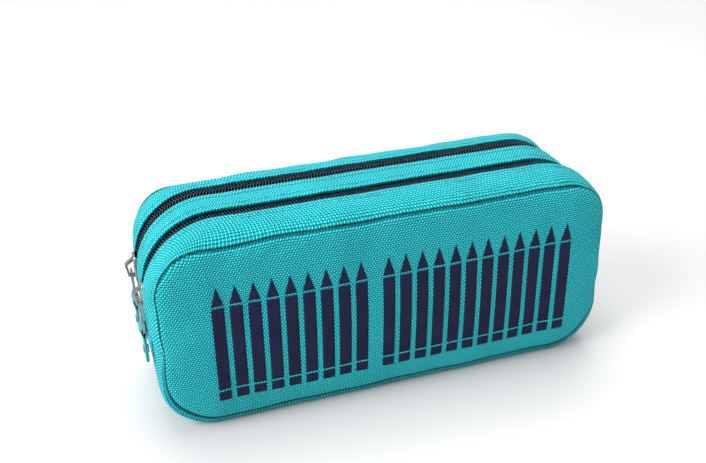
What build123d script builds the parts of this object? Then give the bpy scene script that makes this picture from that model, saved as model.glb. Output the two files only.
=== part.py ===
from build123d import *
import os

# Two-pocket pencil case: two padded panels, a zipped top gusset in three strips, a lower gusset, a
# divider between the pockets, and two coil zips whose sliders carry a metal puller and a fabric tab.
#
# Frame: +X along the case, +Y from its front to its back, +Z up. The origin is the middle of the flat
# underside. All sizes are in millimetres. Every station along the depth has one outline, a rectangle
# with round corners: the wall outline between the zips, easing to a smaller seam outline at each panel.

# Outline between the zips: half length, underside, top, top and bottom corner radii.
WALL = dict(half=101.0, bottom=0.0, top=90.0, top_radius=30.0, bottom_radius=22.0)
# Outline where a panel is sewn to the gusset.
SEAM = dict(half=98.5, bottom=5.0, top=86.0, top_radius=19.0, bottom_radius=23.0)

SEAM_Y = 29.6  # seam plane, either side of the middle
ZIP_Y = 11.8  # centre line of each zip
ZIP_GAP = 9.4  # between the strips' folded edges
STRIP_Y = ZIP_Y + ZIP_GAP / 2
MIDDLE_Y = ZIP_Y - ZIP_GAP / 2
JOIN_Z = 40.0  # where the zipped gusset is sewn to the lower gusset
JOIN_GAP = 0.3  # between the lower gusset and what moves with a panel

CANVAS = 1.2
PANEL_FOAM = 2.0
GUSSET_FOAM = 1.6
LINING = 0.4
TAPE = 0.5
LAYER_GAP = 0.05  # between layers that are sewn face to face
PANEL_FIT = CANVAS + 0.1  # how far the panel's inner layers stay inside the strips
GUSSET_LAYER_Y = 23.0  # the lower gusset's foam and lining stop short of the bindings
BINDING_WIDTH = 3.9
BINDING = 1.2
DIVIDER = 1.0

CHAIN_SLOT = 1.2  # between the two coils, where the slider's post runs
COIL_WIDTH = 2.4
COIL_RECESS = 0.1
TAPE_COVER = 6.0  # tape sewn under a strip, past the strip's edge
ZIP_END_Z = JOIN_Z + JOIN_GAP
STOP_LENGTH = 2.2
STOP_THICKNESS = 0.65
STOP_Z = ZIP_END_Z + 1.5

SLIDER_Z = WALL["top"] - WALL["top_radius"]  # closed: at the foot of the corner's arc
SLIDER_HALF_LENGTH = 5.5
SLIDER_TAIL = 3.7
SLIDER_SHOULDER = 4.2
SHOULDER_START = 1.0  # distances down the wall from the slider's centre
SHOULDER_END = 3.5
SLIDER_RAIL = 0.6
SLIDER_TAIL_RADIUS = 1.4
PLATE_EDGE = 0.35
TOP_PLATE = (0.5, 1.0)  # height of its underside over the canvas, and its thickness
BOTTOM_PLATE = (-3.3, 0.8)
RAIL_BOTTOM = -0.7
POST_WIDTH = 0.8
POST_LENGTH = 3.0
BRIDGE_HALF_WIDTH = 1.0
BRIDGE_OUTSIDE = ((4.8, 1.3), (4.4, 4.2), (-1.6, 5.2), (-4.6, 1.3))
BRIDGE_INSIDE = ((3.7, 1.3), (3.45, 3.4), (-1.15, 4.15), (-3.2, 1.3))
BRIDGE_ROUND = 0.6

PULLER_THICKNESS = 1.0
PULLER_HEIGHT = 2.2  # its underside over the canvas
PULLER_TOP = 1.6
EYE = (2.7, 8.0)  # ends of the eye, down the wall from the slider's centre
EYE_HALF_WIDTH = 1.5
PULLER_NECK_HALF = 2.5
PULLER_FLARE = (8.6, 11.6)
PULLER_HALF_WIDTH = 4.4
TAB_SLOT = (12.6, 15.2)
TAB_SLOT_HALF = 3.5
PULLER_END = 16.6
PULLER_ROUND = 0.8

TAB_HALF_WIDTH = 3.2
TAB_LAYER = 0.6
TAB_THICKNESS = 1.4
TAB_END = 33.0
TAB_TIP_ROUND = 2.4
RIVET_AT = 26.5
RIVET_SHANK = 0.8
RIVET_HEAD = 1.7
RIVET_HEAD_HEIGHT = 0.5

PRINT_THICKNESS = 0.2
PRINT_BOTTOM = 15.0
PRINT_BAR = 5.2
PRINT_PITCH = 7.5
PRINT_GROUPS = ((-75.6, 9), (-3.6, 12))  # middle of a group's first bar, and how many it has
PRINT_END_BLOCK = 4.5  # from the bottom up: a short block, a shaft and a pointed tip
PRINT_SHAFT = 40.0
PRINT_TIP = 8.5
PRINT_BREAK = 1.0

SIDES = (("front", -1), ("back", 1))


def outline_at(y):
    """The outline at depth y: the wall's between the strips' edges, then easing to the seam's."""
    share = max(0.0, (abs(y) - STRIP_Y) / (SEAM_Y - STRIP_Y))
    return {key: WALL[key] + share * (SEAM[key] - WALL[key]) for key in WALL}


def draw_outline(outline, inset):
    """Draw an outline, made smaller by the inset, in the current line."""
    half = outline["half"] - inset
    low = outline["bottom"] + inset
    high = outline["top"] - inset
    bottom_radius = outline["bottom_radius"] - inset
    top_radius = outline["top_radius"] - inset
    corners = ((-half, low), (half, low), (half, high), (-half, high))
    radii = (bottom_radius, bottom_radius, top_radius, top_radius)
    FilletPolyline(*corners, radius=radii, close=True)


def depth_plane(y):
    return Plane.XZ.offset(-y)


def save(part, name):
    part.label = name
    export_step(part, f"parts/{name}.step")


def make_band(name, stations, outer, inner, keep, cut_z):
    """A hoop of fabric between two insets of the outline, kept above or below a level."""
    with BuildPart() as hoop:
        for near, far in zip(stations, stations[1:]):
            for inset, mode in ((outer, Mode.ADD), (inner, Mode.SUBTRACT)):
                for y in (near, far):
                    with BuildSketch(depth_plane(y)):
                        with BuildLine():
                            draw_outline(outline_at(y), inset)
                        make_face()
                loft(ruled=True, mode=mode)
        split(bisect_by=Plane.XY.offset(cut_z), keep=keep)
    save(hoop.part, name)


def make_sheet(name, near, thickness, inset, hole_inset=None):
    """A flat sheet of the seam's outline, from depth near towards the back, with or without a hole."""
    with BuildPart() as sheet:
        with BuildSketch(depth_plane(near)):
            with BuildLine():
                draw_outline(SEAM, inset)
            make_face()
            if hole_inset is not None:
                with BuildLine():
                    draw_outline(SEAM, hole_inset)
                make_face(mode=Mode.SUBTRACT)
        extrude(amount=-thickness)
    save(sheet.part, name)


def make_strips_and_gusset():
    """The canvas hoops: a strip each side of each zip, and the lower gusset under both pockets."""
    middle = (-MIDDLE_Y, MIDDLE_Y)
    make_band("middle_strip", middle, 0, CANVAS, Keep.TOP, JOIN_Z)
    for name, side in SIDES:
        stations = sorted((side * STRIP_Y, side * SEAM_Y))
        make_band(f"{name}_strip", stations, 0, CANVAS, Keep.TOP, JOIN_Z + JOIN_GAP)
    whole = (-SEAM_Y, -STRIP_Y, STRIP_Y, SEAM_Y)
    make_band("bottom_gusset", whole, 0, CANVAS, Keep.BOTTOM, JOIN_Z)


def make_gusset_layers():
    """Foam and lining inside the lower gusset."""
    stations = (-GUSSET_LAYER_Y, -STRIP_Y, STRIP_Y, GUSSET_LAYER_Y)
    foam_outside = CANVAS + LAYER_GAP
    foam_inside = foam_outside + GUSSET_FOAM
    make_band("bottom_gusset_foam", stations, foam_outside, foam_inside, Keep.BOTTOM, JOIN_Z)
    lining_outside = foam_inside + LAYER_GAP
    lining_inside = lining_outside + LINING
    make_band("bottom_gusset_lining", stations, lining_outside, lining_inside, Keep.BOTTOM, JOIN_Z)


def make_divider():
    """The wall between the pockets, sewn to the middle strip above and standing on the lining below."""
    above = CANVAS + LAYER_GAP
    below = above + GUSSET_FOAM + LINING + 2 * LAYER_GAP
    with BuildPart() as wall:
        with BuildSketch(depth_plane(-DIVIDER / 2)):
            with BuildLine():
                draw_outline(WALL, above)
            make_face()
        extrude(amount=-DIVIDER)
        split(bisect_by=Plane.XY.offset(JOIN_Z), keep=Keep.TOP)
        with BuildSketch(depth_plane(-DIVIDER / 2)):
            with BuildLine():
                draw_outline(WALL, below)
            make_face()
        extrude(amount=-DIVIDER)
    save(wall.part, "divider")


def make_panels():
    """Each panel's canvas, foam and lining, and the binding that covers the seam inside."""
    face = SEAM_Y + CANVAS
    layers = (
        ("panel", 0, CANVAS, 0, None),
        ("panel_foam", CANVAS, PANEL_FOAM, PANEL_FIT, None),
        ("panel_lining", CANVAS + PANEL_FOAM, LINING, PANEL_FIT, None),
        (
            "seam_binding",
            CANVAS + PANEL_FOAM + LINING + LAYER_GAP,
            BINDING_WIDTH,
            PANEL_FIT,
            PANEL_FIT + BINDING,
        ),
    )
    for name, side in SIDES:
        for layer, depth, thickness, inset, hole_inset in layers:
            near = depth - face if side < 0 else face - depth - thickness
            make_sheet(f"{name}_{layer}", near, thickness, inset, hole_inset)


def make_zips():
    """Both halves of each zip: a tape sewn under the strips' edges, and a coil along its free edge."""
    tape_outside = CANVAS + LAYER_GAP
    tape_inside = tape_outside + TAPE
    coil_inside = tape_outside - LAYER_GAP / 2
    half_slot = CHAIN_SLOT / 2
    tapes = {
        "inner": (MIDDLE_Y - TAPE_COVER, ZIP_Y - half_slot),
        "outer": (ZIP_Y + half_slot, STRIP_Y, STRIP_Y + TAPE_COVER),
    }
    coils = {
        "inner": (ZIP_Y - half_slot - COIL_WIDTH, ZIP_Y - half_slot),
        "outer": (ZIP_Y + half_slot, ZIP_Y + half_slot + COIL_WIDTH),
    }
    for name, side in SIDES:
        for half in tapes:
            stem = f"{name}_zip_{half}"
            tape = sorted(side * y for y in tapes[half])
            coil = sorted(side * y for y in coils[half])
            make_band(f"{stem}_tape", tape, tape_outside, tape_inside, Keep.TOP, ZIP_END_Z)
            make_band(f"{stem}_coil", coil, COIL_RECESS, coil_inside, Keep.TOP, ZIP_END_Z)


def make_stops(name, places, width):
    """Metal stops crimped over the chain on the end walls, one at each (x, y)."""
    with BuildPart() as crimps:
        for x, y in places:
            outward = 1 if x > 0 else -1
            centre = (x + outward * (STOP_THICKNESS / 2 - COIL_RECESS), y, STOP_Z + STOP_LENGTH / 2)
            with BuildSketch(Plane(centre, x_dir=(0, 1, 0), z_dir=(1, 0, 0))):
                RectangleRounded(width, STOP_LENGTH, STOP_LENGTH / 5)
        extrude(amount=STOP_THICKNESS / 2, both=True)
    save(crimps.part, name)


def make_all_stops():
    """Stops at the closed end on each coil, and one across both coils at the open end."""
    reach = CHAIN_SLOT / 2 + COIL_WIDTH / 2
    end = WALL["half"]
    make_stops("zip_inner_top_stops", [(-end, side * (ZIP_Y - reach)) for _, side in SIDES], COIL_WIDTH)
    for name, side in SIDES:
        make_stops(f"{name}_zip_outer_top_stop", [(-end, side * (ZIP_Y + reach))], COIL_WIDTH)
    across = CHAIN_SLOT + 2 * COIL_WIDTH
    make_stops("zip_bottom_stops", [(end, side * ZIP_Y) for _, side in SIDES], across)


def seat_plane(y, height=0.0):
    """On the end wall at the closed slider: x across the zip, y up the wall, z outwards."""
    origin = (-WALL["half"] - height, y, SLIDER_Z)
    return Plane(origin=origin, x_dir=(0, -1, 0), z_dir=(-1, 0, 0))


def side_plane(y):
    """Through the middle of a zip on the end wall: x down the wall, y outwards."""
    return Plane(origin=(-WALL["half"], y, SLIDER_Z), x_dir=(0, 0, -1), z_dir=(0, 1, 0))


def mirrored(edge):
    """Close a right-hand edge with its left-hand mirror image."""
    return [*edge, *((-x, y) for x, y in reversed(edge))]


def slider_plan():
    """The slider from outside: a narrow tail at the top and wide shoulders below."""
    edge = (
        (SLIDER_TAIL, SLIDER_HALF_LENGTH),
        (SLIDER_TAIL, -SHOULDER_START),
        (SLIDER_SHOULDER, -SHOULDER_START - 1),
        (SLIDER_SHOULDER, -SHOULDER_END),
        (SLIDER_TAIL, -SLIDER_HALF_LENGTH),
    )
    with BuildSketch() as plan:
        Polygon(*mirrored(edge), align=None)
        fillet(plan.vertices().group_by(Axis.Y)[-1], SLIDER_TAIL_RADIUS)
    return plan.sketch


def make_slider(name, y):
    """Two plates joined by a post that runs between the coils, with rails and a bridge for the puller."""
    plan = slider_plan()
    top_underside, top_thickness = TOP_PLATE
    bottom_underside, bottom_thickness = BOTTOM_PLATE
    with BuildPart() as body:
        with BuildSketch(seat_plane(y, top_underside)):
            add(plan)
        extrude(amount=top_thickness)
        fillet(body.faces().sort_by(Axis.X)[0].edges(), PLATE_EDGE)
        with BuildSketch(seat_plane(y, RAIL_BOTTOM)):
            add(plan)
            Rectangle(2 * (SLIDER_TAIL - SLIDER_RAIL), 4 * SLIDER_HALF_LENGTH, mode=Mode.SUBTRACT)
        extrude(amount=top_underside - RAIL_BOTTOM)
        with BuildSketch(seat_plane(y, bottom_underside)):
            add(plan)
        extrude(amount=bottom_thickness)
        with BuildSketch(seat_plane(y, bottom_underside + bottom_thickness)):
            with Locations((0, POST_LENGTH / 2 - SHOULDER_END)):
                Rectangle(POST_WIDTH, POST_LENGTH)
        extrude(amount=top_underside - bottom_underside - bottom_thickness)
        with BuildSketch(side_plane(y)) as arch:
            Polygon(*BRIDGE_OUTSIDE, align=None)
            fillet(arch.vertices().sort_by(Axis.Y)[-2:], BRIDGE_ROUND)
            Polygon(*BRIDGE_INSIDE, align=None, mode=Mode.SUBTRACT)
        extrude(amount=BRIDGE_HALF_WIDTH, both=True)
    save(body.part, f"{name}_slider")


def make_puller(name, y):
    """A metal link: an eye round the slider's bridge, flaring to a slot that holds the fabric tab."""
    flare_start, flare_end = PULLER_FLARE
    edge = (
        (PULLER_NECK_HALF, -PULLER_TOP),
        (PULLER_NECK_HALF, -flare_start),
        (PULLER_HALF_WIDTH, -flare_end),
        (PULLER_HALF_WIDTH, -PULLER_END),
    )
    with BuildPart() as link:
        with BuildSketch(seat_plane(y, PULLER_HEIGHT)) as plan:
            Polygon(*mirrored(edge), align=None)
            fillet(plan.vertices(), PULLER_ROUND)
            for (start, end), half_width in ((EYE, EYE_HALF_WIDTH), (TAB_SLOT, TAB_SLOT_HALF)):
                with Locations((0, -(start + end) / 2)):
                    Rectangle(2 * half_width, end - start, mode=Mode.SUBTRACT)
        extrude(amount=PULLER_THICKNESS)
    save(link.part, f"{name}_puller")


def make_pull_tab(name, y):
    """A strap folded round the puller's lower bar and riveted to itself, and the rivet."""
    bar_down = (TAB_SLOT[1] + PULLER_END) / 2
    bar_out = PULLER_HEIGHT + PULLER_THICKNESS / 2
    loop_inside = (TAB_THICKNESS + TAB_LAYER) / 2
    with BuildPart() as tab:
        with BuildSketch(side_plane(y)):
            with Locations((bar_down, bar_out)):
                Circle(loop_inside + TAB_LAYER)
            with Locations(((bar_down + TAB_END) / 2, bar_out)):
                Rectangle(TAB_END - bar_down, TAB_THICKNESS)
            with Locations((bar_down, bar_out)):
                Circle(loop_inside, mode=Mode.SUBTRACT)
        extrude(amount=TAB_HALF_WIDTH, both=True)
        fillet(tab.edges().filter_by(Axis.X).group_by(Axis.Z)[0], TAB_TIP_ROUND)
        with BuildSketch(seat_plane(y, bar_out)):
            with Locations((0, -RIVET_AT)):
                Circle(RIVET_SHANK + LAYER_GAP)
        extrude(amount=TAB_THICKNESS, both=True, mode=Mode.SUBTRACT)
    save(tab.part, f"{name}_pull_tab")

    tab_back = bar_out - TAB_THICKNESS / 2
    tab_face = bar_out + TAB_THICKNESS / 2
    with BuildPart() as rivet:
        for height, amount, radius in (
            (tab_back, TAB_THICKNESS, RIVET_SHANK),
            (tab_face, RIVET_HEAD_HEIGHT, RIVET_HEAD),
            (tab_back, -RIVET_HEAD_HEIGHT, RIVET_HEAD),
        ):
            with BuildSketch(seat_plane(y, height)):
                with Locations((0, -RIVET_AT)):
                    Circle(radius)
            extrude(amount=amount)
    save(rivet.part, f"{name}_tab_rivet")


def make_front_print():
    """Ink film on the front panel: a row of plain pointed bars, in two groups."""
    half = PRINT_BAR / 2
    shaft_start = PRINT_BOTTOM + PRINT_END_BLOCK + PRINT_BREAK
    shaft_end = shaft_start + PRINT_SHAFT
    tip_start = shaft_end + PRINT_BREAK
    with BuildPart() as film:
        with BuildSketch(depth_plane(-SEAM_Y - CANVAS)):
            for first, count in PRINT_GROUPS:
                for step in range(count):
                    middle = first + step * PRINT_PITCH
                    with Locations((middle, PRINT_BOTTOM + PRINT_END_BLOCK / 2)):
                        Rectangle(PRINT_BAR, PRINT_END_BLOCK)
                    with Locations((middle, (shaft_start + shaft_end) / 2)):
                        Rectangle(PRINT_BAR, PRINT_SHAFT)
                    with Locations((middle, tip_start)):
                        Polygon((-half, 0), (half, 0), (0, PRINT_TIP), align=None)
        extrude(amount=PRINT_THICKNESS)
    save(film.part, "front_print")


def main():
    os.makedirs("parts", exist_ok=True)
    make_strips_and_gusset()
    make_gusset_layers()
    make_divider()
    make_panels()
    make_zips()
    make_all_stops()
    for name, side in SIDES:
        make_slider(name, side * ZIP_Y)
        make_puller(name, side * ZIP_Y)
        make_pull_tab(name, side * ZIP_Y)
    make_front_print()


main()
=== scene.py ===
"""Looks of the two-pocket pencil case: canvas, zips, metal and print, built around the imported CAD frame.

Everything is in metres in the CAD frame: +X along the case, -Y its printed front, +Z up. The soft
pieces are thin shells over grids that follow one outline, a rectangle with round corners, which eases
from the wall between the zips to the smaller seam at each panel.
"""

import math

import bpy
import numpy as np
from mathutils import Matrix, Vector
from mathutils.bvhtree import BVHTree


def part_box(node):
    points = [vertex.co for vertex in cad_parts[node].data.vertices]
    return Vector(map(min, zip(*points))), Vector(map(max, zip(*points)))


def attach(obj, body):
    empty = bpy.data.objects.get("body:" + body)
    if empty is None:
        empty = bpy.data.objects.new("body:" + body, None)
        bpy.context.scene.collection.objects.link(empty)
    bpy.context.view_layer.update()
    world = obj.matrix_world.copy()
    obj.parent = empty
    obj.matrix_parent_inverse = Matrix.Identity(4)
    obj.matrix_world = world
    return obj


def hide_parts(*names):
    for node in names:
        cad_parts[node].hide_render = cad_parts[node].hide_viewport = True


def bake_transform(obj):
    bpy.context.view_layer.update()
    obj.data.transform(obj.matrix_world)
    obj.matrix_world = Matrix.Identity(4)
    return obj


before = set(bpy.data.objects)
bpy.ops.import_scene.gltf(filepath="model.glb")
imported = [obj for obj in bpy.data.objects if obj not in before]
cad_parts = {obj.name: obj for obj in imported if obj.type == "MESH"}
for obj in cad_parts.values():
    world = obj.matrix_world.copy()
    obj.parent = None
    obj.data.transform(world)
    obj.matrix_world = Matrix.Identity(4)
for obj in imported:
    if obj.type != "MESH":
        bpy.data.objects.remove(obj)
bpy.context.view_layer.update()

MM = 0.001
SIDES = (("front", -1), ("back", 1))

# ---- sizes, from the frame, in millimetres


def node_box(node):
    low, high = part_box(node)
    return np.array(low) / MM, np.array(high) / MM


strip_low, strip_high = node_box("middle_strip")
panel_low, panel_high = node_box("front_panel")
back_strip_low, back_strip_high = node_box("back_strip")
GUSSET_BOTTOM = node_box("bottom_gusset")[0][2]
CHAIN_EDGE = node_box("back_zip_outer_coil")[1][1]

JOIN_Z = strip_low[2]
MIDDLE_Y = strip_high[1]
STRIP_Y = back_strip_low[1]
SEAM_Y = back_strip_high[1]
ZIP_Y = (MIDDLE_Y + STRIP_Y) / 2
CHAIN_HALF = CHAIN_EDGE - ZIP_Y

# Half length, bottom, top, and radii of the top and bottom corners.
WALL = np.array([strip_high[0], GUSSET_BOTTOM, strip_high[2], 30.0, 22.0])
SEAM = np.array([panel_high[0], panel_low[2], panel_high[2], 19.0, 23.0])
HALF, BOTTOM, TOP = range(3)

CANVAS = 1.2
TAPE_DEPTH = 1.5
WARP_PITCH = 0.68
WEFT_PITCH = 0.98
STITCH_INSET = 3.0
STITCH_PITCH = 3.3
STITCH_LENGTH = 2.7
STITCH_LEAN = 0.05

# ---- outlines and grids


def spaced(length, step, edge=(), far_edge=None):
    """Distances from 0 to length: closer at the ends, as the edge lists say, and even between."""
    far_edge = edge if far_edge is None else far_edge
    near = [0.0, *edge]
    far = [length, *(length - e for e in far_edge)][::-1]
    count = max(1, round((far[0] - near[-1]) / step))
    inner = np.linspace(near[-1], far[0], count + 1)
    return np.array([*near[:-1], *inner, *far[1:]])


FINE_EDGE = (0.06, 0.2, 0.42, 0.7, 1.1, 1.7, 2.5, 3.4)
FOLD_EDGE = (0.06, 0.2, 0.42, 0.7, 1.0, 1.35, 1.8, 2.2, 2.6, 3.0, 3.4, 3.9, 4.6, 5.5)


def side_and_radius(outline, upper):
    """Height of an outline's straight side above or below the join, and the radius of its corner."""
    _, bottom, top, top_radius, bottom_radius = outline
    if upper:
        return top - top_radius - JOIN_Z, top_radius
    return JOIN_Z - bottom - bottom_radius, bottom_radius


def hoop_stations(step, upper=True):
    """Stations along the hoop above or below the joins: distances on the wall's outline from the left one."""
    side, radius = side_and_radius(WALL, upper)
    return spaced(2 * side + math.pi * radius + 2 * (WALL[HALF] - radius), step, FINE_EDGE)


def hoop(stations, share, upper=True):
    """Points and outward normals at the stations, on the outline with this share of the seam's in it."""
    outline = WALL + share * (SEAM - WALL)
    half = outline[HALF]
    side, radius = side_and_radius(outline, upper)
    wall_side, wall_radius = side_and_radius(WALL, upper)
    wall_flat = 2 * (WALL[HALF] - wall_radius)
    flat = 2 * (half - radius)
    wall_arc = math.pi / 2 * wall_radius
    lengths = np.array([wall_side, wall_arc, wall_flat, wall_arc, wall_side])
    ends = np.concatenate([[0], np.cumsum(lengths)])
    x, rise, normal_x, normal_rise = np.zeros((4, len(stations)))
    for part in range(5):
        past = ends[part + 1] + 1 if part == 4 else ends[part + 1]
        here = (stations >= ends[part]) & (stations < past)
        t = (stations[here] - ends[part]) / lengths[part]
        turn = t * math.pi / 2
        if part == 0:
            x[here], rise[here], normal_x[here] = -half, t * side, -1
        elif part == 1:
            x[here] = -half + radius - radius * np.cos(turn)
            rise[here] = side + radius * np.sin(turn)
            normal_x[here], normal_rise[here] = -np.cos(turn), np.sin(turn)
        elif part == 2:
            x[here], rise[here], normal_rise[here] = -flat / 2 + t * flat, side + radius, 1
        elif part == 3:
            x[here] = half - radius + radius * np.sin(turn)
            rise[here] = side + radius * np.cos(turn)
            normal_x[here], normal_rise[here] = np.sin(turn), np.cos(turn)
        else:
            x[here], rise[here], normal_x[here] = half, (1 - t) * side, 1
    sign = 1 if upper else -1
    return np.stack([x, JOIN_Z + sign * rise], 1), np.stack([normal_x, sign * normal_rise], 1)


def hoop_grid(stations, depths, shares, lifts, upper=True):
    """A grid over the hoop, one column at each depth, with the seam's share and the lift of each point."""
    wall, normals = hoop(stations, 0.0, upper)
    seam, _ = hoop(stations, 1.0, upper)
    shape = (len(stations), len(depths))
    shares = np.broadcast_to(shares, shape)[..., None]
    lifts = np.broadcast_to(lifts, shape)[..., None]
    flat = wall[:, None] + shares * (seam - wall)[:, None] + normals[:, None] * lifts
    y = np.broadcast_to(depths, shape)
    return np.stack([flat[..., 0], y, flat[..., 1]], 2)


def edge_distance(x, z, outline):
    """Distance inwards from a rounded rectangle's edge."""
    half, bottom, top, top_radius, bottom_radius = outline
    middle = (bottom + top) / 2
    radius = np.where(z > middle, top_radius, bottom_radius)
    qx = np.abs(x) - (half - radius)
    qz = np.where(z > middle, z - (top - radius), (bottom + radius) - z)
    outside = np.hypot(np.maximum(qx, 0), np.maximum(qz, 0)) + np.minimum(np.maximum(qx, qz), 0)
    return radius - outside


def face_grid(outline, step, edge=FINE_EDGE):
    """Rows and columns over a rounded rectangle: x and z of each point."""
    half, bottom, top, top_radius, bottom_radius = outline
    z = bottom + spaced(top - bottom, step, edge)
    above = np.clip(z - (top - top_radius), 0, top_radius)
    below = np.clip(bottom + bottom_radius - z, 0, bottom_radius)
    width = half - top_radius + np.sqrt(np.maximum(top_radius**2 - above**2, 0))
    lower_width = half - bottom_radius + np.sqrt(np.maximum(bottom_radius**2 - below**2, 0))
    width = np.minimum(width, lower_width)
    across = spaced(2 * half, step, edge) / half - 1
    return width[:, None] * across, np.repeat(z[:, None], len(across), 1)


def face_sheet(outline, step):
    """The same rows and columns, with each point's distance from the outline."""
    x, z = face_grid(outline, step)
    return x, z, np.maximum(edge_distance(x, z, outline), 0)


def cloth_uv(rows, columns):
    """UVs in millimetres over a grid, from the distances along it and across it."""
    return np.stack(np.broadcast_arrays(rows[:, None], columns), 2)


def from_ends(places):
    """Distance of each place in a row from the nearer end of the row."""
    return np.minimum(places - places[0], places[-1] - places)


def round_edge(distance, thickness):
    """Thickness of a sheet near its edge, where its two faces close in a half circle."""
    radius = thickness / 2
    inside = np.clip(1 - distance / radius, 0, 1)
    return thickness * np.sqrt(1 - inside**2)


def grid_edge_distance(rows, columns):
    """Distance of each grid point from the nearest border, given distances along and across."""
    return np.minimum(from_ends(rows)[:, None], from_ends(columns))


# ---- meshes


def link(item):
    bpy.context.scene.collection.objects.link(item)
    return item


def new_object(name, vertices, faces, material, uvs=None, edges=None):
    """A mesh object from points in millimetres, with UVs in millimetres of cloth.

    The second UV map, where there is one, holds the distances to the seam and to the join.
    """
    mesh = bpy.data.meshes.new(name)
    mesh.from_pydata((np.asarray(vertices) * MM).tolist(), [], [list(map(int, f)) for f in faces])
    corners = np.zeros(len(mesh.loops), int)
    mesh.loops.foreach_get("vertex_index", corners)
    for layer_name, values in (("cloth", uvs), ("edges", edges)):
        if values is not None:
            layer = mesh.uv_layers.new(name=layer_name)
            layer.data.foreach_set("uv", np.asarray(values)[corners].astype(np.float32).ravel())
    mesh.polygons.foreach_set("use_smooth", [True] * len(mesh.polygons))
    mesh.materials.append(material)
    mesh.update()
    return link(bpy.data.objects.new(name, mesh))


def grid_normals(grid, cyclic=False):
    if cyclic:
        along = np.roll(grid, -1, 0) - np.roll(grid, 1, 0)
    else:
        along = np.gradient(grid, axis=0)
    across = np.gradient(grid, axis=1)
    normals = np.cross(along, across)
    length = np.linalg.norm(normals, axis=2, keepdims=True)
    return normals / np.maximum(length, 1e-9)


def shell(name, middle, thickness, uv, material, cyclic=False, outward=1, edges=None):
    """A closed sheet either side of a grid. Where its thickness is nothing, its two faces share a point."""
    rows, columns = middle.shape[:2]
    normals = grid_normals(middle, cyclic) * outward
    half = (thickness / 2)[..., None]
    outer = (middle + normals * half).reshape(-1, 3)
    inner = (middle - normals * half).reshape(-1, 3)
    split = (thickness > 1e-6).ravel()
    outer_index = np.arange(rows * columns)
    inner_index = np.where(split, rows * columns + np.cumsum(split) - 1, outer_index)
    vertices = np.concatenate([outer, inner[split]])
    flat_uv = uv.reshape(-1, 2)
    uvs = np.concatenate([flat_uv, flat_uv[split]])
    row = np.arange(rows if cyclic else rows - 1)
    next_row = (row + 1) % rows
    column = np.arange(columns - 1)
    a = (row[:, None] * columns + column).ravel()
    d = (next_row[:, None] * columns + column).ravel()
    loop = (a, d, d + 1, a + 1) if outward > 0 else (a, a + 1, d + 1, d)
    faces = [np.stack([outer_index[k] for k in loop], 1), np.stack([inner_index[k] for k in loop[::-1]], 1)]
    if edges is not None:
        flat_edges = np.stack(np.broadcast_arrays(*edges), 2).reshape(-1, 2)
        edges = np.concatenate([flat_edges, flat_edges[split]])
    return new_object(name, vertices, np.concatenate(faces), material, uvs, edges)


# ---- materials


class Nodes:
    """A material's node tree, with short calls for the nodes that patterns are made of."""

    def __init__(self, name, roughness, **settings):
        self.material = bpy.data.materials.new(name)
        self.material.use_nodes = True
        self.tree = self.material.node_tree
        self.shader = self.tree.nodes["Principled BSDF"]
        self.set("Roughness", roughness)
        for socket, value in settings.items():
            self.set(socket.replace("_", " "), value)

    def feed(self, socket, value):
        if isinstance(value, bpy.types.NodeSocket):
            self.tree.links.new(value, socket)
        else:
            socket.default_value = value

    def set(self, socket, value):
        self.feed(self.shader.inputs[socket], value)

    def node(self, kind, inputs=(), **settings):
        node = self.tree.nodes.new(kind)
        for key, value in settings.items():
            setattr(node, key, value)
        for key, value in dict(inputs).items():
            self.feed(node.inputs[key], value)
        return node

    def math(self, operation, a, b=0.0, c=0.0):
        return self.node("ShaderNodeMath", {0: a, 1: b, 2: c}, operation=operation).outputs[0]

    def cloth(self, pitch_u, pitch_v, turn=0.0):
        """Thread numbers across and along the cloth."""
        uv = self.node("ShaderNodeUVMap", uv_map="cloth").outputs[0]
        scale = (1 / pitch_u, 1 / pitch_v, 1)
        mapping = self.node("ShaderNodeMapping", {"Vector": uv, "Scale": scale, "Rotation": (0, 0, turn)})
        split = self.node("ShaderNodeSeparateXYZ", {0: mapping.outputs[0]})
        return split.outputs[0], split.outputs[1]

    def noise(self, scale, detail=2.0, roughness=0.5, low=0.0, high=1.0):
        """Noise over the object, spread to run from low to high."""
        place = self.node("ShaderNodeTexCoord").outputs["Object"]
        noise = self.node(
            "ShaderNodeTexNoise", {"Vector": place, "Scale": scale, "Detail": detail, "Roughness": roughness}
        )
        spread = {0: noise.outputs[0], 1: 0.3, 2: 0.7, 3: low, 4: high}
        return self.node("ShaderNodeMapRange", spread).outputs[0]

    def colours(self, factor, *stops):
        ramp = self.node("ShaderNodeValToRGB", {0: factor})
        elements = ramp.color_ramp.elements
        while len(elements) < len(stops):
            elements.new(0.5)
        for element, (place, colour) in zip(elements, stops):
            element.position = place
            element.color = (*colour, 1)
        return ramp.outputs[0]

    def scaled(self, colour, factor):
        """A colour made brighter or darker by a factor."""
        return self.node("ShaderNodeVectorMath", {0: colour, "Scale": factor}, operation="SCALE").outputs[0]

    def crease_shade(self, socket, reach, depth):
        """A factor of painted shade that darkens cloth close to a seam (socket 0) or a join (socket 1)."""
        uv = self.node("ShaderNodeUVMap", uv_map="edges").outputs[0]
        away = self.node("ShaderNodeSeparateXYZ", {0: uv}).outputs[socket]
        spread = {0: away, 1: 0.3 * reach, 2: reach, 3: depth, 4: 1.0}
        return self.node("ShaderNodeMapRange", spread, interpolation_type="SMOOTHSTEP").outputs[0]

    def bump(self, height, distance, strength=1.0):
        node = self.node("ShaderNodeBump", {"Height": height, "Distance": distance, "Strength": strength})
        self.set("Normal", node.outputs[0])


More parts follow.
